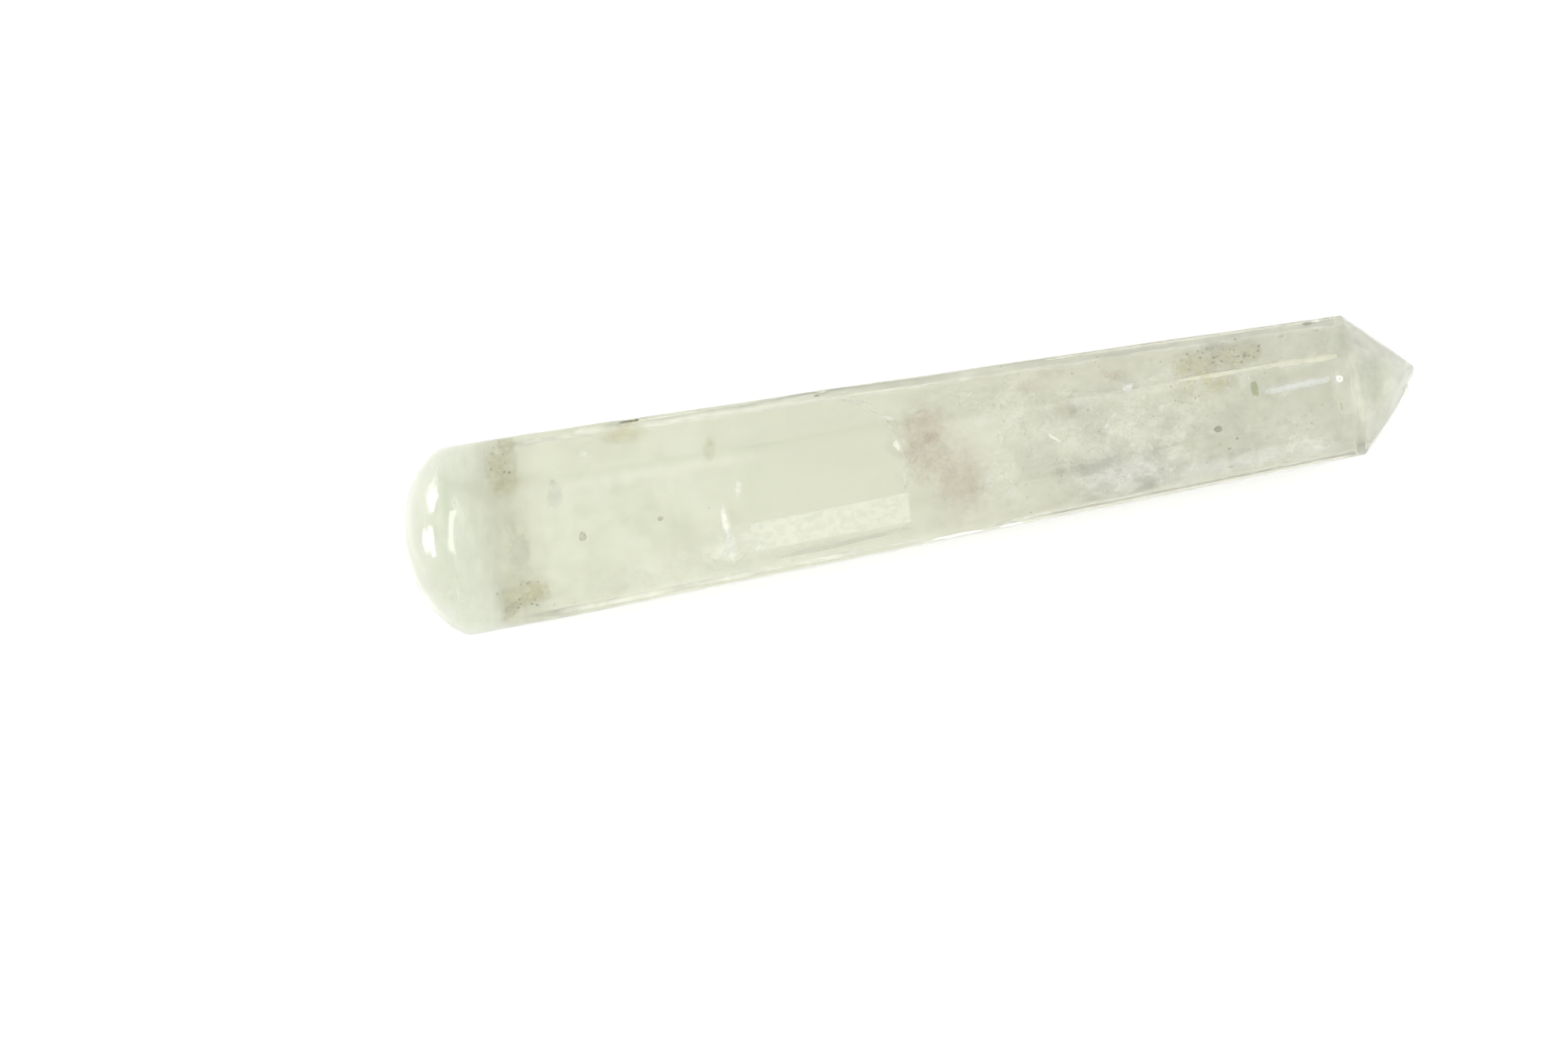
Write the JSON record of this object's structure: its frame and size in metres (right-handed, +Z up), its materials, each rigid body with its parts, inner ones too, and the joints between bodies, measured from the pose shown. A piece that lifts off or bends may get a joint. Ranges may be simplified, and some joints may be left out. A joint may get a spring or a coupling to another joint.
{
  "type": "quartz wand",
  "caption": "Hand-polished quartz wand with a rounded end, long ground flats that taper evenly, and a blunt faceted point; it lies on a flat.",
  "frame": {"origin": "centre of the wand's box on the surface it rests on", "axes": "+X along the wand towards its point, +Y across it, +Z up from the flat that it rests on"},
  "size_m": [0.1404, 0.0262, 0.0261],
  "materials": {
    "quartz": "polished, faintly milky and greenish, with clouds and stains inside"
  },
  "bodies": {
    "root": {"wand": "quartz"}
  },
  "joints": []
}
